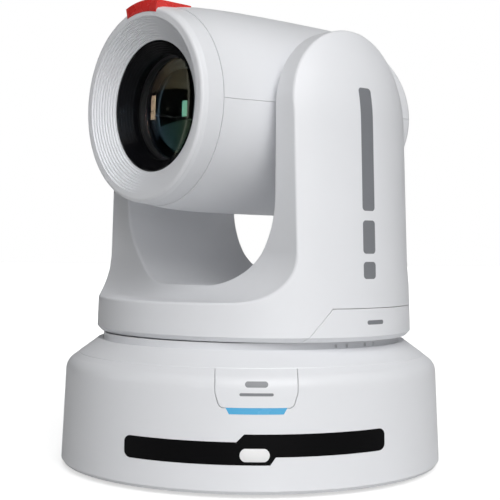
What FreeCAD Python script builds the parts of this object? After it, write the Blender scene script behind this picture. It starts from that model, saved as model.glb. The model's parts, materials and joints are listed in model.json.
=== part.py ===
# Motorised conference camera: a round base with its electronics, a yoke that
# pans on it, and a camera head that tilts between the arms of the yoke.
# Millimetres. +Z is up, the origin is under the middle of the base, and the
# front of the base faces -Y.
import FreeCAD, Part
import Sketcher
import math
import os

from FreeCAD import Placement, Rotation, Vector

doc = FreeCAD.newDocument("ConferenceCamera")
sheet = doc.addObject("Spreadsheet::Sheet", "Sizes")


class Size:
    """A number together with its formula in the sheet, so features can be bound to it."""

    def __init__(self, number, formula):
        self.number = number
        self.formula = formula

    def joined(self, sign, other, number):
        return Size(number, f"({self.formula} {sign} {other.formula})")

    def __add__(self, other):
        other = as_size(other)
        return self.joined("+", other, self.number + other.number)

    def __sub__(self, other):
        other = as_size(other)
        return self.joined("-", other, self.number - other.number)

    def __mul__(self, other):
        other = as_size(other)
        return self.joined("*", other, self.number * other.number)

    def __truediv__(self, other):
        other = as_size(other)
        return self.joined("/", other, self.number / other.number)

    def __radd__(self, other):
        return as_size(other) + self

    def __rsub__(self, other):
        return as_size(other) - self

    def __rmul__(self, other):
        return as_size(other) * self

    def __neg__(self):
        return 0 - self


def as_size(value):
    return value if isinstance(value, Size) else Size(value, str(value))


def size(alias, number):
    """Write one driving dimension in the sheet."""
    size.row += 1
    sheet.set(f"A{size.row}", alias.replace("_", " "))
    sheet.set(f"B{size.row}", str(number))
    sheet.setAlias(f"B{size.row}", alias)
    return Size(number, f"Sizes.{alias}")


size.row = 0

# ---- base
base_radius = size("base_radius", 88)
shoulder_radius = size("shoulder_radius", 86.1)
shoulder_height = size("shoulder_height", 43)
rim_radius = size("rim_radius", 80.6)
rim_height = size("rim_height", 50.6)
wall = size("wall_thickness", 2.5)
skirt_gap = size("skirt_gap", 1.6)
plate_radius = size("plate_radius", 84.9)
plate_low = size("plate_low", 2)
plate_thick = size("plate_thickness", 2)
foot_radius = size("foot_radius", 8)
foot_circle = size("foot_circle", 72)
tripod_hole = size("tripod_hole_radius", 2.65)
tripod_depth = size("tripod_depth", 9)
bracket_circle = size("bracket_circle_radius", 38)
bracket_hole = size("bracket_hole_radius", 1.7)
neck_radius = size("neck_radius", 69)
neck_top = size("neck_top", 59.9)
cover_top = size("cover_top", 57.2)
skin_depth = size("skin_depth", 1.3)
tab_half_width = size("tab_half_width", 15.8)
tab_low = size("tab_low", 35.8)
light_low = size("light_low", 33.2)
window_half_angle = size("window_half_angle", 37.4)
window_low = size("window_low", 13.3)
window_height = size("window_height", 9)
window_step = size("window_step", 3.1)
window_corner = size("window_corner", 2.6)
panel_half_width = size("panel_half_width", 49.5)
panel_low = size("panel_low", 8)
panel_high = size("panel_high", 40)
panel_face = size("panel_face", 66.75)
panel_lip = size("panel_lip", 1.5)
deck_radius = size("deck_radius", 70)
deck_low = size("deck_low", 42)
deck_thick = size("deck_thickness", 2)
board_low = size("board_low", 16)
board_thick = size("board_thickness", 1.6)

# ---- yoke
pan_rest = size("pan_rest_angle", 49.8)
drum_radius = size("drum_radius", 77.9)
drum_low = size("drum_low", 60.4)
arm_radius = size("arm_radius", 74.6)
dome_start = size("dome_start", 152.5)
dome_radius = size("dome_radius", 82)
plan_ratio = size("plan_ratio", 0.887)
arm_half_depth = size("arm_half_depth", 34.3)
arm_crown_height = size("arm_crown_height", 158.6)
flare_radius = size("flare_radius", 20.5)
flare_height = size("flare_height", 97)
drum_edge_height = size("drum_edge_height", 75.5)
tilt_height = size("tilt_height", 160.8)
gap_half_width = size("gap_half_width", 52)
saddle_height = size("saddle_height", 82.3)
saddle_radius = size("saddle_corner_radius", 38)
yoke_floor = size("yoke_floor", 63.4)
cap_height = size("cap_height", 74.3)
seam = size("seam_width", 0.25)
edge_rounding = size("edge_rounding", 1.2)
spindle_radius = size("spindle_radius", 9.95)
frame_face = size("frame_face", 54.8)
frame_thick = size("frame_thickness", 2)
shaft_radius = size("shaft_radius", 5)
running_gap = size("running_gap", 0.05)

# ---- head, measured along the lens from the tilt axis
front_reach = size("front_reach", 65.2)
front_radius = size("front_radius", 42.2)
lip_radius = size("lip_radius", 38.2)
cone_depth = size("cone_depth", 58.4)
cone_radius = size("cone_radius", 28.8)
shell_front = size("shell_front", 54.7)
barrel_radius = size("barrel_radius", 43.6)
head_half_width = size("head_half_width", 50.2)
head_half_height = size("head_half_height", 46)
rear_radius = size("rear_radius", 60)
head_wall = size("head_wall", 2.2)
head_seam = size("head_seam", 0.15)
rear_rounding = size("rear_rounding", 4.5)
ring_rounding = size("ring_rounding", 1.6)
glass_radius = size("glass_radius", 22.4)
mouth_radius = size("mouth_radius", 23.4)
glass_curve = size("glass_curve_radius", 64)

# ---- gears
pan_module = size("pan_gear_module", 1)
tilt_module = size("tilt_gear_module", 0.8)
PAN_GEAR_TEETH, PAN_PINION_TEETH = 72, 14
TILT_GEAR_TEETH, TILT_PINION_TEETH = 48, 12


# ---------------------------------------------------------------- helpers
def bind(thing, **formulas):
    for name, value in formulas.items():
        thing.setExpression(name.replace("__", "."), as_size(value).formula)
    return thing


def move(thing, x, y, z):
    return bind(thing, Placement__Base__x=x, Placement__Base__y=y, Placement__Base__z=z)


TURNS = {"Z": Rotation(), "X": Rotation(Vector(0, 1, 0), 90), "-X": Rotation(Vector(0, 1, 0), -90),
         "Y": Rotation(Vector(1, 0, 0), -90), "-Y": Rotation(Vector(1, 0, 0), 90),
         "-Z": Rotation(Vector(1, 0, 0), 180)}


def block(name, length, width, height, x=0, y=0, z=0):
    """A box centred on x and y that stands on z."""
    thing = bind(doc.addObject("Part::Box", name), Length=length, Width=width, Height=height)
    return move(thing, as_size(x) - as_size(length) / 2, as_size(y) - as_size(width) / 2, z)


def rod(name, radius, length, x=0, y=0, z=0, along="Z"):
    """A cylinder that starts at x, y, z and runs along an axis."""
    thing = bind(doc.addObject("Part::Cylinder", name), Radius=radius, Height=length)
    thing.Placement = Placement(Vector(), TURNS[along])
    return move(thing, x, y, z)


def together(name, things):
    """Separate solids that share one node."""
    thing = doc.addObject("Part::Compound", name)
    thing.Links = list(things)
    return thing


def fused(name, *things):
    thing = doc.addObject("Part::MultiFuse", name)
    thing.Shapes = list(things)
    return thing


def cut(name, base, *tools):
    thing = doc.addObject("Part::Cut", name)
    thing.Base = base
    thing.Tool = tools[0] if len(tools) == 1 else fused(name + "_tools", *tools)
    return thing


def common(name, first, second):
    thing = doc.addObject("Part::MultiCommon", name)
    thing.Shapes = [first, second]
    return thing


def tube(name, outer, inner, length, x=0, y=0, z=0, along="Z"):
    return cut(name, rod(name + "_outer", outer, length, x, y, z, along),
               rod(name + "_bore", inner, length, x, y, z, along))


def softened(name, thing, radius, chosen=lambda middle: True):
    """Rounds the chosen edges at which the surface turns by more than 20 degrees."""
    doc.recompute()
    shape = thing.Shape
    sharp = []
    for number, edge in enumerate(shape.Edges, start=1):
        sides = shape.ancestorsOfType(edge, Part.Face)
        middle = edge.valueAt((edge.FirstParameter + edge.LastParameter) / 2)
        if len(sides) != 2 or not chosen(middle):
            continue
        first, second = [side.normalAt(*side.Surface.parameter(middle)) for side in sides]
        if math.degrees(first.getAngle(second)) > 20:
            sharp.append((number, radius.number, radius.number))
    rounded = doc.addObject("Part::Fillet", name)
    rounded.Base = thing
    rounded.Edges = sharp
    return rounded


def lens(name, radius, low, thick, curve):
    """A disc of glass whose front is part of a ball."""
    ball = bind(doc.addObject("Part::Sphere", name + "_ball"), Radius=curve)
    return common(name, rod(name + "_disc", radius, thick, 0, 0, low), move(ball, 0, 0, low + thick - curve))


def arc_middle(start, end, radius):
    """Middle of the short arc from start to end: a positive radius turns left."""
    chord = end - start
    side = Vector(-chord.y, chord.x, 0).normalize()
    reach = abs(radius)
    rise = reach - math.sqrt(max(0, reach ** 2 - chord.Length ** 2 / 4))
    return (start + end) / 2 - side * math.copysign(rise, radius)


def outline_sketch(body, name, plane, outline):
    """Closed outline of (x, y) or (x, y, radius of the arc to the next point)."""
    sketch = body.newObject("Sketcher::SketchObject", name)
    origin = [face for face in body.Origin.OriginFeatures if face.Role == plane]
    sketch.AttachmentSupport = [(origin[0], "")]
    sketch.MapMode = "FlatFace"
    corners = [[as_size(value) for value in corner] for corner in outline]
    places = [Vector(corner[0].number, corner[1].number, 0) for corner in corners]
    ends = []
    for index, corner in enumerate(corners):
        start, end = places[index], places[(index + 1) % len(places)]
        if len(corner) == 2:
            edge = sketch.addGeometry(Part.LineSegment(start, end), False)
            ends.append((edge, 1, 2))
            continue
        radius = corner[2]
        turned_left = radius.number > 0
        arc = Part.Arc(start, arc_middle(start, end, radius.number), end)
        edge = sketch.addGeometry(arc, False)
        ends.append((edge, 1, 2) if turned_left else (edge, 2, 1))
        reach = radius if turned_left else -radius
        limit = sketch.addConstraint(Sketcher.Constraint("Radius", edge, reach.number))
        sketch.setExpression(f"Constraints[{limit}]", reach.formula)
    for index, (edge, first, last) in enumerate(ends):
        following = ends[(index + 1) % len(ends)]
        sketch.addConstraint(Sketcher.Constraint("Coincident", edge, last, following[0], following[1]))
        for kind, axis, value in zip(("DistanceX", "DistanceY"), (-2, -1), corners[index]):
            if value.formula == "0":
                sketch.addConstraint(Sketcher.Constraint("PointOnObject", edge, first, axis))
                continue
            limit = sketch.addConstraint(Sketcher.Constraint(kind, -1, 1, edge, first, value.number))
            sketch.setExpression(f"Constraints[{limit}]", value.formula)
    return sketch


def turned(name, outline, plane="XZ_Plane", angle=360):
    """A body of revolution about its own Z; the outline is (radius, height)."""
    body = doc.addObject("PartDesign::Body", name)
    sketch = outline_sketch(body, name + "_outline", plane, outline)
    turn = body.newObject("PartDesign::Revolution", name + "_turn")
    turn.Profile = sketch
    turn.ReferenceAxis = (sketch, ["V_Axis"])
    turn.Angle = angle
    turn.Midplane = angle < 360
    return body


def padded(name, outline, plane, length, both_ways=True):
    """An outline pushed out of its plane."""
    body = doc.addObject("PartDesign::Body", name)
    sketch = outline_sketch(body, name + "_outline", plane, outline)
    pad = body.newObject("PartDesign::Pad", name + "_pad")
    pad.Profile = sketch
    pad.Midplane = both_ways
    bind(pad, Length=length)
    return body


def polar(radius, degrees):
    """A point on a circle, as sheet formulas; 0 degrees is the front, counted towards +X."""
    turn = math.radians(degrees)
    return as_size(radius) * round(math.sin(turn), 5), as_size(radius) * round(-math.cos(turn), 5)


def gear(name, module, teeth, bore, low, thick, turn=0):
    """A spur gear about its own Z, with straight-sided teeth that leave backlash."""
    pitch = module.number * teeth / 2
    tip, root = pitch + 0.9 * module.number, pitch - 1.15 * module.number
    tooth = 2 * math.pi / teeth
    points = []
    for index in range(teeth):
        middle = turn + index * tooth
        for share, radius in ((-0.30, root), (-0.11, tip), (0.11, tip), (0.30, root)):
            angle = middle + share * tooth
            points.append(Vector(radius * math.cos(angle), radius * math.sin(angle), low))
    rim = Part.Face(Part.makePolygon(points + points[:1])).extrude(Vector(0, 0, thick))
    wheel = doc.addObject("Part::Feature", name)
    wheel.Shape = rim.cut(Part.makeCylinder(bore, thick, Vector(0, 0, low)))
    return wheel


nodes = []
pan_turn = Placement(Vector(), Rotation(Vector(0, 0, 1), -pan_rest.number))
head_place = pan_turn * Placement(Vector(0, 0, tilt_height.number), TURNS["-Y"])


def node(label, thing, place=Placement()):
    """Name a finished sub-part and put it in the row's frame."""
    if thing.TypeId in ("Part::Box", "Part::Cylinder") and not place.isIdentity():
        thing = together(label + "_placed", [thing])
    if not place.isIdentity():
        thing.Placement = place
    thing.Label = label
    nodes.append(thing)
    return thing


def yoke_node(label, thing):
    return node(label, thing, pan_turn)


def head_node(label, thing):
    return node(label, thing, head_place)


# ---------------------------------------------------------------- base shell
def base_skin(name, depth, proud=0):
    """The outer layer of the base's side wall, from its skirt to the rim."""
    return turned(name, [
        (base_radius + proud, skirt_gap + 1.4), (shoulder_radius + proud, shoulder_height, 7),
        (rim_radius + 2 + proud, rim_height - 1.6), (rim_radius + proud, rim_height),
        (rim_radius - depth, rim_height), (shoulder_radius - depth, shoulder_height - 1.2),
        (base_radius - depth, skirt_gap + 1.4)])


def window_outline():
    """Band with rounded ends whose right half stands one step higher."""
    end = polar(base_radius, window_half_angle.number)[0]
    corner = window_corner
    high = window_low + window_height
    return [
        (-end + corner, window_low), (5.6, window_low), (7.8, window_low + window_step),
        (end - corner, window_low + window_step, corner), (end, window_low + window_step + corner),
        (end, high + window_step - corner, corner), (end - corner, high + window_step),
        (-4.8, high + window_step), (-7.9, high), (-end + corner, high, corner),
        (-end, high - corner), (-end, window_low + corner, corner)]


def front_cutter(name, outline):
    """A prism that reaches out through the front wall only."""
    return common(name, padded(name + "_prism", outline, "XZ_Plane", base_radius + 10, both_ways=False),
                  block(name + "_reach", 160, 60, 70, 0, -80, 0))


def tab_outline(grow=0):
    """The tongue of the top cover that hangs over the front, widest at its top."""
    half, low = tab_half_width + grow, tab_low - grow
    return [
        (-half - 0.6, rim_height + 2), (-half - 0.6, low + 6), (-half + 0.6, low + 2, 2.6),
        (-half + 2.6, low), (half - 2.6, low, 2.6), (half - 0.6, low + 2), (half + 0.6, low + 6),
        (half + 0.6, rim_height + 2)]


light_outline = [(-12.3, tab_low), (-10.9, light_low), (10.9, light_low), (12.3, tab_low)]
emblem_outline = [(-4.6, 14.6), (3.4, 14.6, 2.7), (3.4, 19.8), (-4.6, 19.8, 2.7)]

tab = common("tab", base_skin("tab_skin", skin_depth, 0.15), front_cutter("tab_cutter", tab_outline()))
tab_room = common("tab_room", base_skin("tab_room_skin", skin_depth + 0.1, 0.3),
                  front_cutter("tab_room_cutter", tab_outline(seam)))
light = common("light", base_skin("light_skin", 2.2, 0.05), front_cutter("light_cutter", light_outline))
window_blank = common("window_blank", base_skin("window_skin", skin_depth, 0.1),
                      front_cutter("window_cutter", window_outline()))
emblem = common("emblem", base_skin("emblem_skin", 0.6, 0.25), front_cutter("emblem_cutter", emblem_outline))

housing_blank = turned("housing_blank", [
    (base_radius - 1, skirt_gap), (base_radius, skirt_gap + 1.4), (shoulder_radius, shoulder_height, 7),
    (rim_radius + 2, rim_height - 1.6), (rim_radius, rim_height), (rim_radius - wall, rim_height),
    (rim_radius - wall, rim_height - 2.4), (shoulder_radius - wall, shoulder_height - 2),
    (plate_radius, plate_low + plate_thick + 0.4), (plate_radius, skirt_gap)])
panel_outside = (panel_half_width + panel_lip) * 2
panel_opening = block("panel_opening", panel_outside, 40, panel_high - panel_low + panel_lip * 2,
                      0, panel_face - panel_lip + 20, panel_low - panel_lip)
node("base_housing", cut("housing", housing_blank, panel_opening, tab_room, light, window_blank))
node("window_band", cut("window", window_blank, emblem))
node("window_emblem", emblem)
node("status_light", light)

cover_ring = turned("cover_ring", [
    (rim_radius - 0.3, rim_height), (rim_radius - 0.5, rim_height + 0.4), (neck_radius + 2.6, cover_top),
    (neck_radius + 2.2, cover_top - 0.5), (neck_radius, cover_top - 0.5), (neck_radius, neck_top),
    (neck_radius - 3, neck_top), (neck_radius - 3, cover_top - 4.4), (rim_radius - 2.8, rim_height - 2.4),
    (rim_radius - wall, rim_height)])
slots = []
for number, degrees in enumerate((31, 36, 45, 50)):
    slot_x, slot_y = polar(neck_radius, degrees - 1.6)
    slots.append(block(f"neck_slot_{number}", 1.1, 3, 1.4, slot_x, slot_y, cover_top + 0.1))
node("base_top_cover", fused("top_cover", cut("slotted_ring", cover_ring, *slots), tab))

# ---------------------------------------------------------------- base plate and feet
plate_holes = [rod("tripod_bore", tripod_hole, tripod_depth, 0, 0, plate_low)]
for number in range(4):
    hole_x, hole_y = polar(bracket_circle, 90 * number)
    plate_holes.append(rod(f"bracket_hole_{number}", bracket_hole, 5, hole_x, hole_y, plate_low - 1))
for number in range(8):
    vent_x, vent_y = polar(54, 22.5 + 45 * number)
    plate_holes.append(rod(f"plate_vent_{number}", 2.2, 5, vent_x, vent_y, plate_low - 1))
plate_body = fused("plate_body", rod("plate_disc", plate_radius, plate_thick, 0, 0, plate_low),
                   rod("tripod_boss", 9, tripod_depth + 1, 0, 0, plate_low))
node("base_plate", cut("plate", plate_body, *plate_holes))
feet = []
for number in range(4):
    foot_x, foot_y = polar(foot_circle, 45 + 90 * number)
    pad = rod(f"foot_pad_{number}", foot_radius, plate_low, foot_x, foot_y, 0)
    feet.append(cut(f"foot_{number}", pad, rod(f"foot_dimple_{number}", 3, 0.6, foot_x, foot_y, 0)))
node("rubber_feet", together("feet", feet))

# ---------------------------------------------------------------- electronics in the base
stand_places = [(side * 44, row) for side in (-1, 1) for row in (-38, 22)]
standoffs = [rod(f"standoff_{number}", 3, board_low - plate_low - plate_thick, x, y, plate_low + plate_thick)
             for number, (x, y) in enumerate(stand_places)]
node("main_board", block("board", 96, 66, board_thick, 0, -9, board_low))
chip_sizes = ((24, 24, 2, -24, -10), (14, 10, 1.4, 6, -22), (14, 10, 1.4, 6, -6),
              (9, 9, 1.6, 30, -28), (12, 8, 3, 34, 4), (16, 6, 4.5, -20, 16))
chip_top = board_low + board_thick
node("board_chips", together("chips", [
    block(f"chip_{number}", length, width, height, x, y, chip_top)
    for number, (length, width, height, x, y) in enumerate(chip_sizes)]))
sink_low = chip_top + 2
sink_parts = [block("sink_base", 26, 26, 1.6, -24, -10, sink_low)]
for number in range(7):
    sink_parts.append(block(f"sink_fin_{number}", 1.2, 26, 7, -36.4 + 4.1333 * number, -10, sink_low + 1.2))
node("heat_sink", fused("sink", *sink_parts))
node("light_board", block("light_board_body", 30, board_thick, 9, 0, -77, 30))
node("infrared_receivers", together("receivers", [
    rod(f"receiver_{number}", 2.6, 3.5, *polar(76, degrees), 16.5)
    for number, degrees in enumerate((-26, 25))]))

# ---------------------------------------------------------------- rear connectors
sockets = {
    "network_socket": (-41, 17, 14), "control_in_socket": (-22, 11, 11), "control_out_socket": (-8, 11, 11),
    "usb_socket": (7, 13, 6), "hdmi_socket": (25, 15, 6), "audio_socket": (-22, 8, 8),
    "power_socket": (41, 10, 10)}
socket_low = {"network_socket": 12, "control_in_socket": 12, "control_out_socket": 12,
              "usb_socket": 14, "hdmi_socket": 14, "audio_socket": 27, "power_socket": 14}
panel_room = block("panel_room", panel_half_width * 2, 40, panel_high - panel_low,
                   0, panel_face + 20, panel_low)
panel_blank = common("panel_blank", rod("panel_round", shoulder_radius, 60, 0, 0, 0),
                     block("panel_box", panel_outside, 40, panel_high - panel_low + panel_lip * 2,
                           0, panel_face - panel_lip + 20, panel_low - panel_lip))
panel_holes = []
panel_rear = panel_face
for label, (x, width, height) in sockets.items():
    low = socket_low[label]
    panel_holes.append(block(label + "_hole", width, 4, height, x, panel_face - 1, low))
for label, radius, x, z in (("bnc_hole", 6, 25, 30), ("dial_hole", 5.3, 0, 31), ("button_hole", 3.2, 41, 31)):
    panel_holes.append(rod(label, radius, 4, x, panel_face - 3, z, "Y"))
node("rear_panel", cut("panel", panel_blank, panel_room, *panel_holes))


def boxed_socket(label, depth, mouth_share):
    """A rectangular shell with an open mouth at the rear."""
    x, width, height = sockets[label]
    low = socket_low[label]
    outer = block(label + "_shell", width, depth, height, x, panel_rear - depth / 2 + 0.8, low)
    rim = height * (1 - mouth_share) / 2
    mouth = block(label + "_mouth", width - 2 * rim, depth - 4, height - 2 * rim,
                  x, panel_rear - depth / 2 + 0.8 + 2, low + rim)
    return cut(label + "_body", outer, mouth)


node("network_socket", boxed_socket("network_socket", 16, 0.84))
for label, across in (("usb_socket", 9), ("hdmi_socket", 11)):
    tongue = block(label + "_tongue", across, 7.4, 1.4, sockets[label][0], panel_rear - 3.6, 16.3)
    node(label, fused(label + "_whole", boxed_socket(label, 12, 0.84), tongue))
round_sockets = {}
for label in ("control_in_socket", "control_out_socket", "audio_socket", "power_socket"):
    x, width, height = sockets[label]
    middle = socket_low[label] + height / 2
    case = block(label + "_case", width, 10, height, x, panel_rear - 4.2, socket_low[label])
    bore = rod(label + "_bore", width * 0.36, 8, x, panel_rear - 6.2, middle, "Y")
    body = cut(label + "_body", case, bore)
    if label == "power_socket":
        body = fused("power_socket_whole", body, rod("power_pin", 1, 7, x, panel_rear - 7, middle, "Y"))
    round_sockets[label] = body
node("control_sockets", together("control_pair", [round_sockets["control_in_socket"],
                                                  round_sockets["control_out_socket"]]))
node("audio_socket", round_sockets["audio_socket"])
node("power_socket", round_sockets["power_socket"])
bnc_shell = tube("bnc_shell", 4.9, 3.6, 11, 25, panel_rear, 30, "Y")
bnc_nut = tube("bnc_nut", 7.4, 4.9, 2, 25, panel_rear, 30, "Y")
bnc_back = rod("bnc_back", 6, 8, 25, panel_rear - 8, 30, "Y")
bnc_pin = rod("bnc_pin", 0.8, 8, 25, panel_rear - 1, 30, "Y")
bnc_lugs = rod("bnc_lugs", 1, 13, 18.5, panel_rear + 8, 30, "X")
bnc_lug_room = rod("bnc_lug_room", 3.6, 6, 25, panel_rear + 5, 30, "Y")
node("video_connector", fused("bnc", bnc_shell, bnc_nut, bnc_back, bnc_pin,
                              cut("bnc_lug_pair", bnc_lugs, bnc_lug_room)))
dial_cup = cut("dial_cup", rod("dial_case", 5.3, 9, 0, panel_rear - 8.5, 31, "Y"),
               rod("dial_room", 4.3, 6, 0, panel_rear - 5.5, 31, "Y"))
button_cup = cut("button_cup", rod("button_case", 3.2, 9, 41, panel_rear - 8.5, 31, "Y"),
                 rod("button_room", 2.2, 7, 41, panel_rear - 6.5, 31, "Y"))
node("control_cups", together("cups", [dial_cup, button_cup]))
dial_slot = block("dial_slot", 5.4, 3, 1.2, 0, panel_rear, 30.4)
node("format_dial", cut("dial", rod("dial_disc", 4, 4.6, 0, panel_rear - 5, 31, "Y"), dial_slot))
node("reset_button", rod("button", 1.9, 4.6, 41, panel_rear - 4, 31, "Y"))

# ---------------------------------------------------------------- pan drive in the base
post_places = [polar(66, degrees) for degrees in (60, 120, 240, 300)]
posts = [rod(f"deck_post_{number}", 3.5, deck_low - plate_low - plate_thick, x, y, plate_low + plate_thick)
         for number, (x, y) in enumerate(post_places)]
node("base_posts", together("all_posts", standoffs + posts))
pan_distance = pan_module * (PAN_GEAR_TEETH + PAN_PINION_TEETH) / 2
motor_angle = 150
motor_x, motor_y = polar(pan_distance, motor_angle)
deck_disc = rod("deck_disc", deck_radius, deck_thick, 0, 0, deck_low)
deck_hole = rod("deck_hole", 20, 6, 0, 0, deck_low - 2)
motor_hole = rod("motor_hole", 11, 6, motor_x, motor_y, deck_low - 2)
node("pan_deck", cut("deck", deck_disc, deck_hole, motor_hole))
node("pan_bearing_outer", tube("bearing_outer", 20, 17, 6, 0, 0, 41))
balls = []
for number in range(14):
    ball_x, ball_y = polar(15, 360 / 14 * number)
    ball = bind(doc.addObject("Part::Sphere", f"ball_{number}"), Radius=1.75)
    balls.append(move(ball, ball_x, ball_y, 44))
node("pan_bearing_balls", together("balls", balls))
motor_can = rod("motor_can", 17, 19, motor_x, motor_y, deck_low - 19)
motor_boss = rod("motor_boss", 10.9, 2, motor_x, motor_y, deck_low)
motor_bore = rod("motor_bore", 2.6, 24, motor_x, motor_y, deck_low - 20)
node("pan_motor", cut("motor", fused("motor_body", motor_can, motor_boss), motor_bore))

# The pinion stands half a tooth round from the gear's tooth that faces it.
pinion_place = Vector(motor_x.number, motor_y.number, 0)
facing = math.atan2(pinion_place.y, pinion_place.x)
pan_pinion = gear("pan_pinion_teeth", pan_module, PAN_PINION_TEETH, 2.5, 48, 5,
                  facing + math.pi + math.pi / PAN_PINION_TEETH)
pan_pinion.Placement = Placement(pinion_place, Rotation())
pinion_shaft = rod("pinion_shaft", 2.5, 30, motor_x, motor_y, deck_low - 18)
node("pan_pinion", fused("pinion", pan_pinion, pinion_shaft))


# ---------------------------------------------------------------- yoke
def squeezed(name, body):
    """The round form made oval: narrower along the lens than across the arms."""
    matrix = FreeCAD.Matrix()
    matrix.scale(Vector(1, plan_ratio.number, 1))
    doc.recompute()
    thing = doc.addObject("Part::Feature", name)
    thing.Shape = body.Shape.transformGeometry(matrix)
    return thing


def yoke_form(name, inset, low):
    """Drum and arms as one solid, drawn inside the outer surface by the inset."""
    draft = (drum_radius.number - arm_radius.number) / (dome_start.number - drum_low.number)
    reach = dome_radius - inset
    centre_x = arm_radius.number - dome_radius.number / math.hypot(1, draft)
    centre_z = dome_start.number - dome_radius.number * draft / math.hypot(1, draft)
    start_x = centre_x + reach.number / math.hypot(1, draft)
    start_z = centre_z + reach.number * draft / math.hypot(1, draft)
    peak = centre_z + math.sqrt(reach.number ** 2 - centre_x ** 2)
    chamfer = 2 if inset == 0 else 0.01
    oval = squeezed(name + "_oval", turned(name + "_round", [
        (0, low), (drum_radius - inset - chamfer, low), (drum_radius - inset, low + chamfer),
        (start_x, start_z, reach), (0, peak)]))
    half = arm_half_depth - inset
    flare_end = half + flare_radius
    side = [
        (half, flare_height, flare_radius + inset), (flare_end + inset, drum_edge_height + 1 - inset),
        (90, drum_edge_height - inset), (90, 50), (-90, 50), (-90, drum_edge_height - inset),
        (-flare_end - inset, drum_edge_height + 1 - inset, flare_radius + inset), (-half, flare_height),
        (-half, arm_crown_height, -half), (0, arm_crown_height + half, -half), (half, arm_crown_height)]
    side = [(corner[0], corner[1]) + tuple(corner[2:]) for corner in reversed_outline(side)]
    return common(name + "_arms", oval, padded(name + "_side", side, "YZ_Plane", 200))


def reversed_outline(outline):
    """The same outline walked the other way round, with its arcs turned over."""
    turned_over = []
    count = len(outline)
    for index in range(count - 1, -1, -1):
        corner = outline[index]
        before = outline[index - 1]
        arc = (-as_size(before[2]),) if len(before) == 3 else ()
        turned_over.append((corner[0], corner[1]) + arc)
    return turned_over


def channel(name, grow):
    """The U-shaped gap that the head hangs in."""
    half, low, corner = gap_half_width + grow, saddle_height - grow, saddle_radius + grow
    return padded(name, [
        (-half, 240), (-half, low + corner, corner), (-half + corner, low), (half - corner, low, corner),
        (half, low + corner), (half, 240)], "XZ_Plane", 200)


yoke_blank = cut("yoke_blank", yoke_form("outer_form", 0, drum_low), channel("gap", 0))
yoke_outer = softened("yoke_outer", yoke_blank, edge_rounding, chosen=lambda middle: middle.z > 64)
yoke_inner = cut("yoke_inner", yoke_form("inner_form", wall, yoke_floor), channel("gap_wall", wall))
floor_opening = rod("floor_opening", 58, 8, 0, 0, drum_low - 2)
shaft_opening = rod("shaft_opening", 9, 120, -60, 0, tilt_height, "X")
yoke_wall = cut("yoke_wall", yoke_outer, yoke_inner, floor_opening, shaft_opening)
drum_wall = cut("drum_wall", yoke_blank, yoke_inner, floor_opening)


def cap_prism(name, side, inset):
    """The region of one small lower cap, on the outside of the drum."""
    prism = padded(name + "_prism", [
        (-34 + inset, drum_low - 2), (36 - inset, drum_low - 2), (36 - inset, cap_height - inset),
        (-21 + inset, cap_height - inset)], "YZ_Plane", 30, both_ways=False)
    # The pad starts on the plane of the pan axis, so it is carried out to the side wall.
    prism.Placement = Placement(Vector(62 if side > 0 else -92, 0, 0), Rotation())
    return prism


caps = [common(f"cap_{label}", drum_wall, cap_prism(f"cap_{label}_piece", side, seam))
        for label, side in (("right", 1), ("left", -1))]
yoke_node("yoke_caps", together("cap_pair", caps))
yoke_node("yoke_shell", cut("shell", yoke_wall, cap_prism("cap_right_room", 1, 0),
                            cap_prism("cap_left_room", -1, 0)))

yoke_plate_disc = rod("yoke_plate_disc", 63, 2, 0, 0, yoke_floor)
screw_places = [(x, y) for x in (-40, 40) for y in (-12, 12)]
yoke_plate_holes = [rod(f"yoke_screw_hole_{number}", 1.5, 8, x, y, yoke_floor - 1)
                    for number, (x, y) in enumerate(screw_places)]
spindle_hole = rod("spindle_hole", spindle_radius, 8, 0, 0, yoke_floor - 2)
yoke_node("yoke_plate", cut("yoke_plate_body", yoke_plate_disc, spindle_hole, *yoke_plate_holes))
frame_low = yoke_floor + 2
upright_height = tilt_height + 16 - frame_low
uprights = []
for side in (-1, 1):
    middle = side * (frame_face + frame_thick / 2)
    uprights.append(block(f"upright_{side + 1}", frame_thick, 36, upright_height, middle, 0, frame_low))
frame_floor = block("frame_floor", (frame_face + frame_thick) * 2, 36, 2, 0, 0, frame_low)
frame_window = block("frame_window", 130, 20, 34, 0, 0, 96)
bearing_holes = rod("bearing_holes", 8, 130, -65, 0, tilt_height, "X")
frame_centre = rod("frame_centre", 14, 8, 0, 0, yoke_floor)
frame_screw_holes = [rod(f"frame_screw_hole_{number}", 1.5, 8, x, y, yoke_floor)
                     for number, (x, y) in enumerate(screw_places)]
yoke_node("yoke_frame", cut("frame", fused("frame_blank", frame_floor, *uprights), frame_window,
                            bearing_holes, frame_centre, *frame_screw_holes))
screws = []
for number, (x, y) in enumerate(screw_places):
    head = rod(f"screw_head_{number}", 2.8, 1.8, x, y, frame_low + 2)
    shank = rod(f"screw_shank_{number}", 1.5, 4.5, x, y, frame_low - 2)
    screws.append(fused(f"screw_{number}", head, shank))
yoke_node("yoke_screws", together("screws", screws))
yoke_node("pan_spindle", tube("spindle", spindle_radius, 6, yoke_floor + 2 - 36, 0, 0, 36))
yoke_node("pan_bearing_inner", tube("bearing_inner", 13, spindle_radius, 6, 0, 0, 41))
pan_gear_facing = facing + math.radians(pan_rest.number)
pan_wheel = gear("pan_gear_teeth", pan_module, PAN_GEAR_TEETH, spindle_radius.number, 48.5, 4,
                 pan_gear_facing)
wheel_hub = tube("wheel_hub", 15, spindle_radius, yoke_floor - 47.5, 0, 0, 47.5)
yoke_node("pan_gear", fused("pan_wheel", pan_wheel, wheel_hub))
yoke_node("tilt_bearings", together("bushes", [
    tube(f"bush_{label}", 8, shaft_radius + running_gap, 5, start, 0, tilt_height, "X")
    for label, start in (("right", 54), ("left", -59))]))
tilt_distance = tilt_module * (TILT_GEAR_TEETH + TILT_PINION_TEETH) / 2
motor_height = tilt_height - tilt_distance
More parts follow.
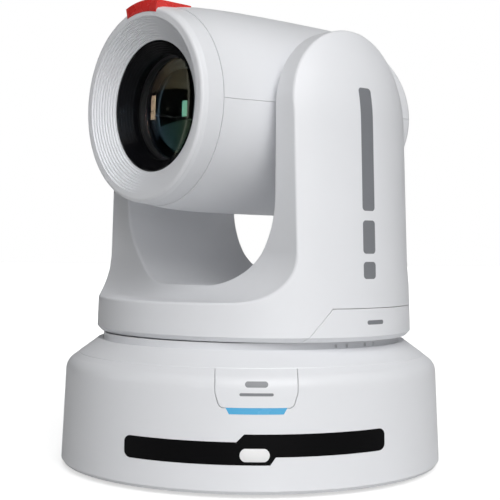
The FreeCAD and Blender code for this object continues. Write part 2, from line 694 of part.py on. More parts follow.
tilt_can = rod("tilt_can", 9.5, 9, 62.4, 0, motor_height, "X")
tilt_ear = block("tilt_ear", 1.6, 24, 9, 63.2, 0, motor_height - 15)
tilt_legs = [rod(f"tilt_leg_{side}", 2, 5.8, frame_face + frame_thick, side * 9.5, motor_height - 11, "X")
             for side in (-1, 1)]
tilt_bore = rod("tilt_bore", 1.6, 7, 62, 0, motor_height, "X")
yoke_node("tilt_motor", cut("tilt_motor_body", fused("tilt_motor_blank", tilt_can, tilt_ear, *tilt_legs),
                            tilt_bore))
arm_spacers = [rod(f"arm_spacer_{number}", 2, 2.4, -59.2, y, z, "X")
               for number, (y, z) in enumerate(((-14, 86), (14, 86), (-14, 140), (14, 140)))]
yoke_node("arm_board", fused("arm_board_body", block("arm_board_sheet", board_thick, 38, 62, -60, 0, 82),
                             *arm_spacers))

tilt_pinion_gear = gear("tilt_pinion_teeth", tilt_module, TILT_PINION_TEETH, 1.5, 0, 3,
                        math.pi / TILT_PINION_TEETH)
tilt_pinion_gear.Placement = Placement(Vector(58.2, 0, motor_height.number), TURNS["X"])
tilt_pinion_shaft = rod("tilt_pinion_shaft", 1.5, 10, 58.2, 0, motor_height, "X")
yoke_node("tilt_pinion", fused("tilt_pinion_body", tilt_pinion_gear, tilt_pinion_shaft))


# ---------------------------------------------------------------- head: X across, Y up, Z along the lens
def head_form(name, inset):
    """The rounded barrel of the head, with a rear that is an arc about the tilt axis."""
    half_width, half_height = head_half_width - inset, head_half_height - inset
    sections = ((shell_front, barrel_radius - inset, barrel_radius - inset),
                (40, half_width - 4.4, half_height - 0.8), (22, half_width - 1.2, half_height - 0.2),
                (0, half_width, half_height), (-30, half_width - 0.9, half_height),
                (-62, half_width - 4.4, half_height - 0.6))
    rings = []
    for number, (reach, across, upward) in enumerate(sections):
        across, upward = as_size(across), as_size(upward)
        ring = doc.addObject("Part::Ellipse", f"{name}_ring_{number}")
        bind(ring, MajorRadius=across, MinorRadius=upward)
        rings.append(move(ring, 0, 0, reach))
    hull = doc.addObject("Part::Loft", name + "_hull")
    hull.Sections = rings
    hull.Solid = True
    rear = fused(name + "_rear", rod(name + "_drum", rear_radius - inset, 140, -70, 0, 0, "X"),
                 block(name + "_front", 140, 140, 80, 0, 0, 0))
    return common(name, hull, rear)


head_outer = softened("head_outer_rounded", head_form("head_outer", 0), rear_rounding,
                      chosen=lambda middle: middle.z < -20)
head_hollow = cut("head_hollow", head_outer, head_form("head_inner", head_wall))
head_shell = cut("head_shell", head_hollow, rod("head_shaft_holes", shaft_radius + 0.4, 120, -60, 0, 0, "X"))
tally_outline = [
    (40, front_reach - 1.2), (40, front_reach + 0.2), (front_radius + 2.4, front_reach + 0.2, 1.2),
    (front_radius + 3.3, front_reach - 1), (front_radius + 3.2, 58), (barrel_radius + 1.6, 47),
    (barrel_radius - 1, 47), (barrel_radius - 1, 54), (front_radius - 1.2, 62)]
tally = turned("tally", tally_outline, "YZ_Plane", 30)
upper_half = block("upper_half", 140, 70, 140, 0, 35 + head_seam / 2, -70)
lower_half = block("lower_half", 140, 70, 140, 0, -35 - head_seam / 2, -70)
head_node("head_upper_shell", cut("upper_shell", common("upper_blank", head_shell, upper_half), tally))
head_node("head_lower_shell", common("lower_shell", head_shell, lower_half))
head_node("tally_light", together("tally_piece", [tally]))

STEPS = 9
step_run, step_rise = (lip_radius - cone_radius) / STEPS, (front_reach - cone_depth) / STEPS
ring_outline = [(barrel_radius - 0.2, shell_front + seam), (front_radius + 0.5, front_reach - 3),
                (front_radius, front_reach - ring_rounding, ring_rounding),
                (front_radius - ring_rounding, front_reach), (lip_radius, front_reach)]
for step in range(STEPS):
    ring_outline.append((lip_radius - step_run * step, front_reach - step_rise * (step + 1)))
    ring_outline.append((lip_radius - step_run * (step + 1), front_reach - step_rise * (step + 1)))
ring_outline += [(cone_radius, cone_depth - 3), (barrel_radius - 4, shell_front + seam)]
head_node("front_ring", cut("ring", turned("ring_blank", ring_outline), tally))

GROOVES = 5
groove_run = (cone_radius - 1.2 - mouth_radius) / GROOVES
groove_rise = 5.2 / GROOVES
lens_ring_outline = [(cone_radius - 0.1, 49), (cone_radius - 0.1, cone_depth - 0.2),
                     (cone_radius - 1.2, cone_depth - 0.2)]
for step in range(GROOVES):
    lens_ring_outline.append((cone_radius - 1.2 - groove_run * step,
                              cone_depth - 0.2 - groove_rise * (step + 1)))
    lens_ring_outline.append((cone_radius - 1.2 - groove_run * (step + 1),
                              cone_depth - 0.2 - groove_rise * (step + 1)))
lens_ring_outline.append((mouth_radius, 49))
head_node("lens_ring", turned("lens_ring_body", lens_ring_outline))
head_node("lens_barrel", turned("lens_barrel_body", [
    (27, -10), (27, 49), (glass_radius, 49), (glass_radius, 43.4), (20.4, 42), (20.4, -8), (12, -8),
    (12, -10)]))
head_node("front_glass", lens("front_glass_body", glass_radius, 43.6, 7, glass_curve))
for label, low, radius in (("zoom", 22, 15), ("focus", 2, 13)):
    head_node(f"{label}_cell", tube(f"{label}_cell_body", radius + 3, radius, 8, 0, 0, low))
    head_node(f"{label}_glass", lens(f"{label}_glass_body", radius, low + 1, 6, glass_curve / 2))
rod_place = 19.3
head_node("iris_plate", cut("iris", tube("iris_body", 20.3, 6, 1, 0, 0, 17), *[
    rod(f"iris_rod_hole_{side + 1}", 0.9, 4, rod_place * side, 0, 15) for side in (-1, 1)]))
head_node("guide_rods", together("rods", [
    rod(f"guide_rod_{side + 1}", 0.8, 50, rod_place * side, 0, -8) for side in (-1, 1)]))
head_node("sensor_block", cut("sensor_block_body", block("sensor_block_case", 44, 44, 9, 0, 0, -19),
                              block("sensor_window", 14, 11, 12, 0, 0, -20)))
head_node("image_sensor", block("sensor", 14, 11, 1.5, 0, 0, -19))
head_node("sensor_board", block("sensor_board_body", 40, 40, board_thick, 0, 0, -20.6))
chassis_blank = fused("chassis_blank", rod("chassis_disc", 41, 3, 0, 0, -10),
                      block("chassis_bar", 87, 24, 3, 0, 0, -10))
chassis_plate = cut("chassis_plate", chassis_blank, rod("chassis_bore", 27, 6, 0, 0, -11))
chassis_sides = [block(f"chassis_side_{side + 1}", 2, 24, 34, side * 43.5, 0, -17) for side in (-1, 1)]
head_node("camera_chassis", fused("chassis", chassis_plate, *chassis_sides))
head_node("tilt_shafts", together("shafts", [rod("shaft_right", shaft_radius, 17.4, 44.5, 0, 0, "X"),
                                            rod("shaft_left", shaft_radius, 15.4, -59.9, 0, 0, "X")]))
tilt_wheel = gear("tilt_gear_teeth", tilt_module, TILT_GEAR_TEETH, shaft_radius.number, 0, 2.4, 0)
tilt_wheel.Placement = Placement(Vector(59.3, 0, 0), Rotation(Vector(0, 1, 0), 90))
head_node("tilt_gear", together("tilt_wheel", [tilt_wheel]))

# ---------------------------------------------------------------- check and write
doc.recompute()
for thing in doc.Objects:
    if any(word in str(thing.State) for word in ("Invalid", "Error")):
        raise SystemExit(f"{thing.Name} did not compute: {thing.State}")
os.makedirs("parts", exist_ok=True)
for thing in nodes:
    shape = thing.Shape
    if shape.isNull() or not shape.isValid() or not shape.Solids:
        raise SystemExit(f"{thing.Label} has no valid solid")
    shape.exportStep(f"parts/{thing.Label}.step")
    box = shape.BoundBox
    print(f"{thing.Label}: {len(shape.Solids)} solids, {shape.Volume:.0f} mm3, "
          f"z {box.ZMin:.1f} to {box.ZMax:.1f}")
print(len(nodes), "sub-parts")
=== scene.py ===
# Conference camera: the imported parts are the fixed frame, and this script gives them their looks
import bpy
import bmesh
import json
import math
from mathutils import Matrix, Vector


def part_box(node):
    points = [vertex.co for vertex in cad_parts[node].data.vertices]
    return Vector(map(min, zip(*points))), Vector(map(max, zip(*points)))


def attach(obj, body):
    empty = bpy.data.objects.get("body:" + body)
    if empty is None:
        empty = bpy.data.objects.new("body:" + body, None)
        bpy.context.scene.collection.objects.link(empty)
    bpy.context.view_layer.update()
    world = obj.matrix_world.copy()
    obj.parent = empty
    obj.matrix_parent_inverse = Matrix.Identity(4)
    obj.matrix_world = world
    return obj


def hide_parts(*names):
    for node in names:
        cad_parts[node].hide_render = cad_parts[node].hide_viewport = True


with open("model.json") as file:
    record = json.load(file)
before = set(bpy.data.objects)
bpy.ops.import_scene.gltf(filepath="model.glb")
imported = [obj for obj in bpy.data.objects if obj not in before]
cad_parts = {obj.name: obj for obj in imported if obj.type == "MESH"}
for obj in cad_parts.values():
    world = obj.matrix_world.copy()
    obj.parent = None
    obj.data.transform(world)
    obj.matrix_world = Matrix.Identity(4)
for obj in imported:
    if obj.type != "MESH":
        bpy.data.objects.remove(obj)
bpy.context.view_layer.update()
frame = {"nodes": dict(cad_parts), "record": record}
cad = frame["nodes"]
print("frame loaded:", len(cad), "nodes")

# where the yoke and the head stand at rest; the head's own Z runs along the lens
stance = {"panRest": math.radians(49.8), "tiltHeight": 0.1608}
panTurn = Matrix.Rotation(-stance["panRest"], 4, "Z")
headPlace = (panTurn @ Matrix.Translation((0, 0, stance["tiltHeight"]))
             @ Matrix.Rotation(math.radians(90), 4, "X"))
mm = 0.001


# node trees for the finishes, one socket at a time
class Recipe:
    def __init__(self, name):
        self.material = bpy.data.materials.new(name)
        self.material.use_nodes = True
        self.tree = self.material.node_tree
        self.shader = self.tree.nodes["Principled BSDF"]
        self.place = self.add("TexCoord").outputs["Object"]

    def add(self, kind, **settings):
        node = self.tree.nodes.new("ShaderNode" + kind)
        for name, value in settings.items():
            setattr(node, name, value)
        return node

    def link(self, source, target):
        self.tree.links.new(source, target)
        return target

    def set(self, **values):
        for name, value in values.items():
            self.shader.inputs[name.replace("_", " ")].default_value = value
        return self

    def noise(self, scale, detail=3):
        node = self.add("TexNoise")
        node.inputs["Scale"].default_value = scale
        node.inputs["Detail"].default_value = detail
        self.link(self.place, node.inputs["Vector"])
        return node.outputs["Fac"]

    def span(self, source, low, high, start=0.3, end=0.7):
        node = self.add("MapRange")
        self.link(source, node.inputs["Value"])
        for name, value in zip(("From Min", "From Max", "To Min", "To Max"), (start, end, low, high)):
            node.inputs[name].default_value = value
        return node.outputs["Result"]

    def mix(self, share, first, second):
        node = self.add("Mix", data_type="RGBA")
        self.link(share, node.inputs["Factor"])
        for socket, value in ((node.inputs["A"], first), (node.inputs["B"], second)):
            if isinstance(value, tuple):
                socket.default_value = (*value, 1)
            else:
                self.link(value, socket)
        return node.outputs["Result"]

    def bump(self, source, strength, distance):
        node = self.add("Bump")
        node.inputs["Strength"].default_value = strength
        node.inputs["Distance"].default_value = distance
        self.link(source, node.inputs["Height"])
        self.link(node.outputs["Normal"], self.shader.inputs["Normal"])
        return self

    # 1 inside a box with rounded corners and 0 outside; turn brings the box in line with the axes
    def patch(self, centre, half, corner, turn=0.0):
        mapping = self.add("Mapping")
        mapping.inputs["Rotation"].default_value = (0, 0, turn)
        vector = self.link(self.place, mapping.inputs["Vector"]).node.outputs["Vector"]
        steps = (("SUBTRACT", centre), ("ABSOLUTE", None),
                 ("SUBTRACT", [side - corner for side in half]), ("MAXIMUM", (0, 0, 0)))
        for operation, value in steps:
            node = self.add("VectorMath", operation=operation)
            self.link(vector, node.inputs[0])
            if value is not None:
                node.inputs[1].default_value = value
            vector = node.outputs["Vector"]
        length = self.add("VectorMath", operation="LENGTH")
        self.link(vector, length.inputs[0])
        return self.span(length.outputs["Value"], 1, 0, corner - 0.00005, corner + 0.00005)


whiteShell = {"tone": (0.79, 0.80, 0.825), "shade": 0.972, "roughness": (0.36, 0.46), "grain": 2600,
              "grainDepth": 0.00002, "bump": 0.08}
greyPrint = {"tone": (0.205, 0.212, 0.228), "corner": 1.6}


def whitePlastic(name, tone=whiteShell["tone"], marks=(), turn=0.0):
    recipe = Recipe(name).set(Specular_IOR_Level=0.45, Coat_Weight=0.1, Coat_Roughness=0.3)
    shade = tuple(channel * whiteShell["shade"] for channel in tone)
    colour = recipe.mix(recipe.noise(28, 4), tone, shade)
    for centre, half in marks:
        inside = recipe.patch([c * mm for c in centre], [h * mm for h in half],
                              min(greyPrint["corner"], *half[1:] if turn else half[::2]) * mm, turn)
        colour = recipe.mix(inside, colour, greyPrint["tone"])
    recipe.link(colour, recipe.shader.inputs["Base Color"])
    recipe.link(recipe.span(recipe.noise(70), *whiteShell["roughness"]), recipe.shader.inputs["Roughness"])
    grain = recipe.noise(whiteShell["grain"], 2)
    return recipe.bump(grain, whiteShell["bump"], whiteShell["grainDepth"]).material


def plain(name, tone, roughness, metallic=0.0, grain=900, bump=0.25, **more):
    recipe = Recipe(name).set(Metallic=metallic, **more)
    dark = tuple(channel * 0.82 for channel in tone)
    recipe.link(recipe.mix(recipe.noise(60, 4), tone, dark), recipe.shader.inputs["Base Color"])
    recipe.link(recipe.span(recipe.noise(140), roughness * 0.85, roughness * 1.15),
                recipe.shader.inputs["Roughness"])
    return recipe.bump(recipe.noise(grain, 2), bump, 0.00002).material


def glass(name, tint, filmThickness):
    recipe = Recipe(name).set(Transmission_Weight=1.0, IOR=1.5, Thin_Film_Thickness=filmThickness,
                              Thin_Film_IOR=1.38)
    recipe.link(recipe.mix(recipe.noise(9), tint, tuple(channel * 0.97 for channel in tint)),
                recipe.shader.inputs["Base Color"])
    recipe.link(recipe.span(recipe.noise(200), 0.004, 0.02), recipe.shader.inputs["Roughness"])
    return recipe.material


# plain grey accents: (centre, half size) in the frame of the part that they are printed on
printed = {
    "arm": [((76, -2, 141), (12, 3.6, 26)), ((76, -2, 104), (12, 3.6, 7)), ((76, -2, 90), (12, 3.6, 3.6))],
    "cap": [((78, 1, 68.2), (8, 5, 0.9))],
    "tab": [((0, -88, 45), (4.6, 6, 1.2)), ((0, -88, 41), (6.8, 6, 0.6))],
}
white = whitePlastic("satin_white_plastic")
finishes = {
    "white_shell": white,
    "black_gloss": plain("polished_black_window", (0.002, 0.002, 0.0025), 0.1, bump=0.04,
                         Specular_IOR_Level=0.10),
    "emblem_white": whitePlastic("insert_white", (0.84, 0.84, 0.84)),
    "status_blue": plain("blue_light_guide", (0.05, 0.22, 0.40), 0.25, Emission_Strength=0.32,
                         Emission_Color=(0.10, 0.62, 1.0, 1)),
    "tally_red": plain("red_tally_lens", (0.80, 0.045, 0.04), 0.28, Subsurface_Weight=0.15),
    "black_ring": plain("satin_black_ring", (0.004, 0.004, 0.005), 0.14, bump=0.03,
                        Specular_IOR_Level=0.32),
    "dark_plastic": plain("black_moulding", (0.014, 0.014, 0.015), 0.5),
    "glass_front": glass("front_lens_glass", (0.92, 1.0, 0.96), 430),
    "glass_inner": glass("inner_lens_glass", (0.62, 0.86, 0.88), 520),
    "sheet_metal": plain("zinc_plated_sheet", (0.55, 0.56, 0.57), 0.35, 1.0),
    "turned_metal": plain("machined_aluminium", (0.66, 0.67, 0.68), 0.3, 1.0),
    "bearing_steel": plain("bearing_steel", (0.7, 0.7, 0.7), 0.15, 1.0),
    "board_green": plain("green_circuit_board", (0.02, 0.17, 0.07), 0.3),
    "chip_black": plain("moulded_chips", (0.02, 0.02, 0.02), 0.5),
    "rubber_black": plain("soft_rubber", (0.02, 0.02, 0.02), 0.75),
    "nylon_gear": plain("natural_acetal", (0.72, 0.71, 0.66), 0.45),
    "socket_metal": plain("nickel_shell", (0.66, 0.67, 0.68), 0.25, 1.0),
    "motor_steel": plain("plated_motor_can", (0.42, 0.42, 0.43), 0.35, 1.0),
    "panel_dark": plain("dark_powder_coat", (0.05, 0.05, 0.055), 0.55),
}
ownFinish = {
    "yoke_shell": whitePlastic("printed_yoke_plastic", marks=printed["arm"], turn=stance["panRest"]),
    "yoke_caps": whitePlastic("printed_cap_plastic", marks=printed["cap"], turn=stance["panRest"]),
    "base_top_cover": whitePlastic("printed_cover_plastic", marks=printed["tab"]),
}
gold = plain("gold_contacts", (0.83, 0.62, 0.25), 0.22, 1.0)
insulator = plain("white_insulator", (0.78, 0.78, 0.76), 0.4)
brass = plain("brass_bush", (0.72, 0.56, 0.30), 0.3, 1.0)
greenLamp = plain("green_lamp", (0.05, 0.5, 0.12), 0.2, Emission_Strength=0.4,
                  Emission_Color=(0.1, 0.9, 0.25, 1))
amberLamp = plain("amber_lamp", (0.7, 0.32, 0.03), 0.2, Emission_Strength=0.3,
                  Emission_Color=(1, 0.5, 0.05, 1))
plateFoil = plain("plain_rating_plate", (0.62, 0.62, 0.63), 0.4, 0.6)

slotOf = {entry["node"]: entry["material_slot"] for entry in frame["record"]["subparts"]}
for name, piece in cad.items():
    piece.data.materials.clear()
    piece.data.materials.append(ownFinish.get(name, finishes[slotOf[name]]))
print("materials made")


# the finished mesh of a piece stands where it belongs, so its object stays at the origin
def finished(name, shape, material, body, place=Matrix(), sharpest=35):
    shape.transform(place)
    shape.normal_update()  # the recalculation reads the old normals otherwise, and may turn a ring inside out
    bmesh.ops.recalc_face_normals(shape, faces=shape.faces)
    mesh = bpy.data.meshes.new(name)
    shape.to_mesh(mesh)
    shape.free()
    mesh.shade_smooth()
    mesh.set_sharp_from_angle(angle=math.radians(sharpest))
    mesh.materials.append(material)
    piece = bpy.data.objects.new(name, mesh)
    bpy.context.scene.collection.objects.link(piece)
    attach(piece, body)
    return piece


def joined(parts):
    whole = bmesh.new()
    for part, place in parts:
        loose = bpy.data.meshes.new("loose")
        part.transform(place)
        part.to_mesh(loose)
        part.free()
        whole.from_mesh(loose)
        bpy.data.meshes.remove(loose)
    return whole


# a closed outline of (radius, height) in millimetres, turned about Z
def spun(outline, steps=96):
    shape = bmesh.new()
    corners = [shape.verts.new((radius * mm, 0, height * mm)) for radius, height in outline]
    edges = [shape.edges.new((corner, corners[(index + 1) % len(corners)]))
             for index, corner in enumerate(corners)]
    bmesh.ops.spin(shape, geom=corners + edges, axis=(0, 0, 1), cent=(0, 0, 0), angle=2 * math.pi,
                   steps=steps, use_merge=True, use_duplicate=False)
    bmesh.ops.remove_doubles(shape, verts=shape.verts, dist=1e-7)
    return shape


def softBlock(size, rounding, segments=2):
    shape = bmesh.new()
    bmesh.ops.create_cube(shape, size=1.0)
    bmesh.ops.scale(shape, vec=[side * mm for side in size], verts=shape.verts)
    bmesh.ops.bevel(shape, geom=shape.edges[:], offset=rounding * mm, segments=segments, profile=0.5,
                    affect="EDGES", material=-1)
    return shape


# a screw head on Z = 0 with a rounded rim and a cross recess
def crossScrew(radius, height, slotHalf, slotReach, recess):
    shape = bmesh.new()
    bmesh.ops.create_circle(shape, cap_ends=True, cap_tris=False, segments=32, radius=radius * mm)
    sides = bmesh.ops.extrude_face_region(shape, geom=shape.faces[:])
    top = [item for item in sides["geom"] if isinstance(item, bmesh.types.BMVert)]
    bmesh.ops.translate(shape, vec=(0, 0, height * mm), verts=top)
    rim = [edge for edge in shape.edges if all(vert.co.z > height * mm * 0.9 for vert in edge.verts)]
    bmesh.ops.bevel(shape, geom=rim, offset=height * 0.45 * mm, segments=3, profile=0.5, affect="EDGES",
                    material=-1)
    for axis in ((1, 0, 0), (0, 1, 0)):
        for distance in (-slotReach, -slotHalf, slotHalf, slotReach):
            flat = [face for face in shape.faces if face.calc_center_median().z > height * mm * 0.99]
            around = {item for face in flat for item in (face, *face.edges, *face.verts)}
            bmesh.ops.bisect_plane(shape, geom=list(around), plane_co=[part * distance * mm for part in axis],
                                   plane_no=axis)
    cross = []
    for face in shape.faces:
        centre = face.calc_center_median() / mm
        across, along = sorted((abs(centre.x), abs(centre.y)))
        if centre.z > height * 0.99 and across < slotHalf and along < slotReach:
            cross.append(face)
    pocket = bmesh.ops.extrude_face_region(shape, geom=cross)
    floorVerts = [item for item in pocket["geom"] if isinstance(item, bmesh.types.BMVert)]
    bmesh.ops.translate(shape, vec=(0, 0, -recess * mm), verts=floorVerts)
    bmesh.ops.delete(shape, geom=cross, context="FACES")  # the old top stays behind after an extrude
    return shape


# a merged copy of a CAD part whose sharp edges are rounded
def rounded(node, width, segments=3, sharpest=35):
    shape = bmesh.new()
    shape.from_mesh(cad[node].data)
    bmesh.ops.remove_doubles(shape, verts=shape.verts, dist=2e-6)
    bmesh.ops.dissolve_limit(shape, angle_limit=math.radians(0.6), verts=shape.verts, edges=shape.edges)
    sharp = [edge for edge in shape.edges
             if len(edge.link_faces) == 2 and edge.calc_face_angle() > math.radians(sharpest)]
    bmesh.ops.bevel(shape, geom=sharp, offset=width * mm, segments=segments, profile=0.5, affect="EDGES",
                    clamp_overlap=True, material=-1)
    material = ownFinish.get(node, finishes[slotOf[node]])
    body = next(name for name, nodes in frame["record"]["behaviour"]["bodies"].items() if node in nodes)
    piece = finished(node + "_soft", shape, material, body)
    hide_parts(node)
    return piece


roundings = {"tally_light": 0.9, "window_emblem": 0.15, "reset_button": 0.4, "rubber_feet": 0.5,
             "lens_ring": 0.08}
for node, width in roundings.items():
    rounded(node, width)
print("edges rounded")

# lens: a stepped mask behind the front glass, and the zoom group's bright rim; heights along the lens
lensParts = {"maskBack": 41.0, "maskShoulder": 42.0, "maskFront": 43.2, "maskRadius": 20.2, "maskInner": 16.8,
             "lipInner": 19.6, "lipOuter": 21.4, "lipHeight": 0.4, "steps": 4,
             "rimRadius": 15.1, "rimWidth": 0.9, "rimFront": 30.5}


def lensMask():
    back, front = lensParts["maskBack"], lensParts["maskFront"]
    lip, steps = lensParts["lipInner"], lensParts["steps"]
    run = (lip - lensParts["maskInner"]) / steps
    rise = (front - back - lensParts["lipHeight"]) / steps
    outline = [(lensParts["maskRadius"], back), (lensParts["maskRadius"], lensParts["maskShoulder"]),
               (lensParts["lipOuter"], front), (lip, front)]
    for step in range(steps):
        low = front - rise * (step + 1)
        outline += [(lip - run * step, low), (lip - run * (step + 1), low)]
    outline.append((lensParts["maskInner"], back))
    return spun(outline)


def zoomRim():
    inner, front = lensParts["rimRadius"], lensParts["rimFront"]
    outer = inner + lensParts["rimWidth"]
    return spun([(inner, front - 0.5), (outer, front - 0.5), (outer, front - 0.1), (inner + 0.6, front),
                 (inner, front - 0.3)])


finished("lens_mask", lensMask(), finishes["black_ring"], "head", headPlace, 20)
finished("zoom_rim", zoomRim(), finishes["turned_metal"], "zoom_group", headPlace)
print("lens detailed")

# rear sockets: contacts, lamps, insulator and the panel's screws
rear = {"contactCount": 8, "contactPitch": 1.02, "contactSize": (0.4, 8, 0.35), "contactHeight": 1.27,
        "lampSize": (2.6, 0.5, 0.8), "lampSpread": 5.6, "lampDrop": 0.58,
        "stripCounts": {"usb_socket": (4, 1.0), "hdmi_socket": (9, 0.5)},  # how many, and how wide
        "stripSpan": 7.4, "stripLength": 6, "stripThick": 0.12, "stripHeight": 16.28,
        "panelFace": 66.75, "screwRadius": 1.7, "screwHeight": 0.8,
        "screwPlaces": ((-46.5, 37.3), (46.5, 37.3), (-46.5, 10.2), (46.5, 10.2))}
videoPlug = {"axis": (25, 30), "bore": 0.9, "recess": 1.9, "edge": 3.2, "radius": 3.62, "back": 67.3,
             "shoulder": 73.6, "front": 74.0, "recessFloor": 72.5}


def boxOf(node):
    low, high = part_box(node)
    return Vector(low) / mm, Vector(high) / mm


def at(x, y, z):
    return Matrix.Translation(Vector((x, y, z)) * mm)


low, high = boxOf("network_socket")
middle = (low + high) / 2
contacts = []
for index in range(rear["contactCount"]):
    across = middle.x + (index - (rear["contactCount"] - 1) / 2) * rear["contactPitch"]
    contacts.append((softBlock(rear["contactSize"], 0.08),
                     at(across, high.y - 6.5, low.z + rear["contactHeight"])))
finished("network_contacts", joined(contacts), gold, "base")
for name, side, lampPaint in (("network_link_lamp", -1, greenLamp), ("network_data_lamp", 1, amberLamp)):
    place = at(middle.x + side * rear["lampSpread"], high.y - 0.2, high.z - rear["lampDrop"])
    finished(name, softBlock(rear["lampSize"], 0.1), lampPaint, "base", place)
for node, (count, wide) in rear["stripCounts"].items():
    low, high = boxOf(node)
    strips = []
    for index in range(count):
        across = (low.x + high.x) / 2 + (index - (count - 1) / 2) * rear["stripSpan"] / count
        strips.append((softBlock((wide, rear["stripLength"], rear["stripThick"]), 0.03, 1),
                       at(across, high.y - 4.3, rear["stripHeight"])))
    finished(node + "_contacts", joined(strips), gold, "base")


def videoInsulator():
    bore, recess, back = videoPlug["bore"], videoPlug["recess"], videoPlug["back"]
    floor = videoPlug["recessFloor"]
    return spun([(bore, back), (videoPlug["radius"], back), (videoPlug["radius"], videoPlug["shoulder"]),
                 (videoPlug["edge"], videoPlug["front"]), (recess, videoPlug["front"]), (recess, floor),
                 (bore, floor)], 48)


videoX, videoZ = videoPlug["axis"]
finished("video_insulator", videoInsulator(), insulator, "base",
         at(videoX, 0, videoZ) @ Matrix.Rotation(math.radians(-90), 4, "X"))


def screws(name, places, turn, radius, height, body):
    heads = [(crossScrew(radius, height, 0.24 * radius, 0.66 * radius, height * 0.6), at(*place) @ turn)
             for place in places]
    return finished(name, joined(heads), finishes["bearing_steel"], body)


screws("panel_screws", [(x, rear["panelFace"], z) for x, z in rear["screwPlaces"]],
       Matrix.Rotation(math.radians(-90), 4, "X"), rear["screwRadius"], rear["screwHeight"], "base")
print("rear detailed")

# underside: screws, the tripod bush and a blank rating plate
under = {"face": 2.0, "screwCircle": 78, "screwRadius": 2.6, "screwHeight": 1.1, "bushRadius": 5.6,
         "plateSize": (44, 17, 0.2), "plateCorner": 2, "platePlace": (0, 50)}
underPlaces = [(under["screwCircle"] * math.cos(turn), under["screwCircle"] * math.sin(turn), under["face"])
               for turn in (math.radians(90 * quarter) for quarter in range(4))]
screws("underside_screws", underPlaces, Matrix.Rotation(math.radians(180), 4, "X"), under["screwRadius"],
       under["screwHeight"], "base")
finished("tripod_bush", spun([(2.75, 2), (2.75, 1.8), (3, 1.6), (under["bushRadius"] - 0.3, 1.6),
                              (under["bushRadius"], 1.8), (under["bushRadius"], 2)], 64),
         brass, "base")
plate = bmesh.new()
bmesh.ops.create_cube(plate, size=1.0)
bmesh.ops.scale(plate, vec=[side * mm for side in under["plateSize"]], verts=plate.verts)
upright = [edge for edge in plate.edges if abs(edge.verts[0].co.z - edge.verts[1].co.z) > 1e-5]
bmesh.ops.bevel(plate, geom=upright, offset=under["plateCorner"] * mm, segments=6, profile=0.5,
                affect="EDGES", material=-1)
finished("rating_plate", plate, plateFoil, "base",
         at(*under["platePlace"], under["face"] - under["plateSize"][2] / 2))
print("underside detailed")

# floor, light and camera
studio = {"floorSize": 12, "floorTone": (0.60, 0.60, 0.60), "floorGlow": (0.62, 0.90), "fade": (0.12, 0.9),
          "cameraHeight": 0.098565, "cameraDistance": 0.522731, "cameraSide": math.radians(1.6),
          "yaw": 0.0015616, "pitch": -0.00087158, "roll": -0.0085122, "lens": 79.577}
# name: degrees round from the front, degrees up, strength, softness in degrees
suns = {"frontLight": (10, 8, 1.0, 44), "keyLight": (12, 42, 2.05, 44), "topLight": (70, 70, 0.30, 50),
        "rearLight": (-170, 26, 1.0, 30), "sideLight": (150, 20, 0.55, 30)}
# the floor's painted glow is weaker near the object and brighter further out; it only shows to the camera, so
# it lights nothing
bpy.ops.mesh.primitive_plane_add(size=studio["floorSize"])
floor = bpy.context.object
floor.name = "floor"
floorPaint = Recipe("pale_floor").set(Base_Color=(*studio["floorTone"], 1), Roughness=0.7,
                                      Emission_Color=(1, 1, 1, 1))
distance = floorPaint.add("VectorMath", operation="LENGTH")
floorPaint.link(floorPaint.place, distance.inputs[0])
glow = floorPaint.add("Math", operation="MULTIPLY")
fading = floorPaint.span(distance.outputs["Value"], *studio["floorGlow"], *studio["fade"])
floorPaint.link(fading, glow.inputs[0])
floorPaint.link(floorPaint.add("LightPath").outputs["Is Camera Ray"], glow.inputs[1])
floorPaint.link(glow.outputs["Value"], floorPaint.shader.inputs["Emission Strength"])
floor.data.materials.append(floorPaint.material)

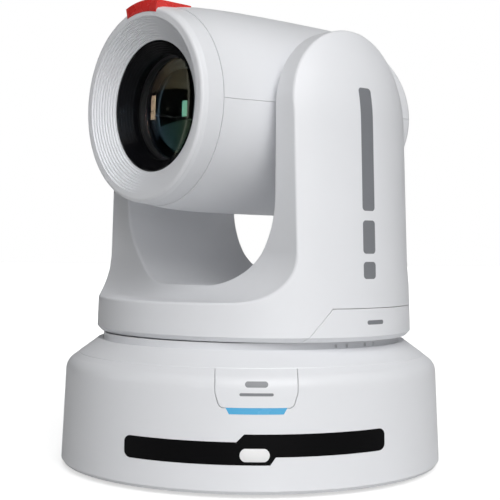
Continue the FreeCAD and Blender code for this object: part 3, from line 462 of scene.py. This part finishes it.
world = bpy.data.worlds.new("studio")
world.use_nodes = True
worldNodes, worldLinks = world.node_tree.nodes, world.node_tree.links
backdrop = worldNodes["Background"]
backdrop.inputs["Color"].default_value = (1, 1, 1, 1)
rayKind = worldNodes.new("ShaderNodeLightPath")
worldLinks.new(rayKind.outputs["Is Camera Ray"], backdrop.inputs["Strength"])
bpy.context.scene.world = world


def lamp(name, light, place, direction):
    holder = bpy.data.objects.new(name, light)
    bpy.context.scene.collection.objects.link(holder)
    holder.location = place
    holder.rotation_euler = Vector(direction).to_track_quat("Z", "Y").to_euler()
    return holder


for name, (around, up, strength, softness) in suns.items():
    light = bpy.data.lights.new(name, "SUN")
    light.energy, light.angle = strength, math.radians(softness)
    around, up = math.radians(around), math.radians(up)
    towards = (math.sin(around) * math.cos(up), -math.cos(around) * math.cos(up), math.sin(up))
    lamp(name, light, (0, 0, 1), towards).visible_glossy = name not in ("rearLight", "sideLight")

# softboxes that only show as reflections: one in the front glass, one on the black ring
boxes = {"windowLight": ((-0.95, -0.17, 0.25), 0.09, 0.17, 0.42, (0.78, 0.90, 1.0)),
         "ringLight": ((0.02, -0.85, 0.29), 0.07, 0.05, 0.5, (1.0, 1.0, 1.0))}
for name, (place, width, height, watts, tint) in boxes.items():
    light = bpy.data.lights.new(name, "AREA")
    light.shape, light.size, light.size_y, light.energy = "RECTANGLE", width, height, watts
    light.color = tint
    lamp(name, light, place, Vector(place) - Vector((0, 0, stance["tiltHeight"]))).visible_diffuse = False

cameraData = bpy.data.cameras.new("camera")
cameraData.lens = studio["lens"]
cameraData.sensor_width = 36
cameraData.clip_start = 0.01
camera = bpy.data.objects.new("camera", cameraData)
bpy.context.scene.collection.objects.link(camera)
aim = (Matrix.Rotation(studio["yaw"], 4, "Z") @ Matrix.Rotation(studio["pitch"], 4, "X")
       @ Matrix.Rotation(studio["roll"], 4, "Y"))
side = Matrix.Rotation(-studio["cameraSide"], 4, "Z")
stand = Matrix.Translation((0, -studio["cameraDistance"], studio["cameraHeight"]))
camera.matrix_world = side @ stand @ aim @ Matrix.Rotation(math.radians(90), 4, "X")
bpy.context.scene.camera = camera
bpy.context.scene.view_settings.view_transform = "Standard"
print("studio lit")
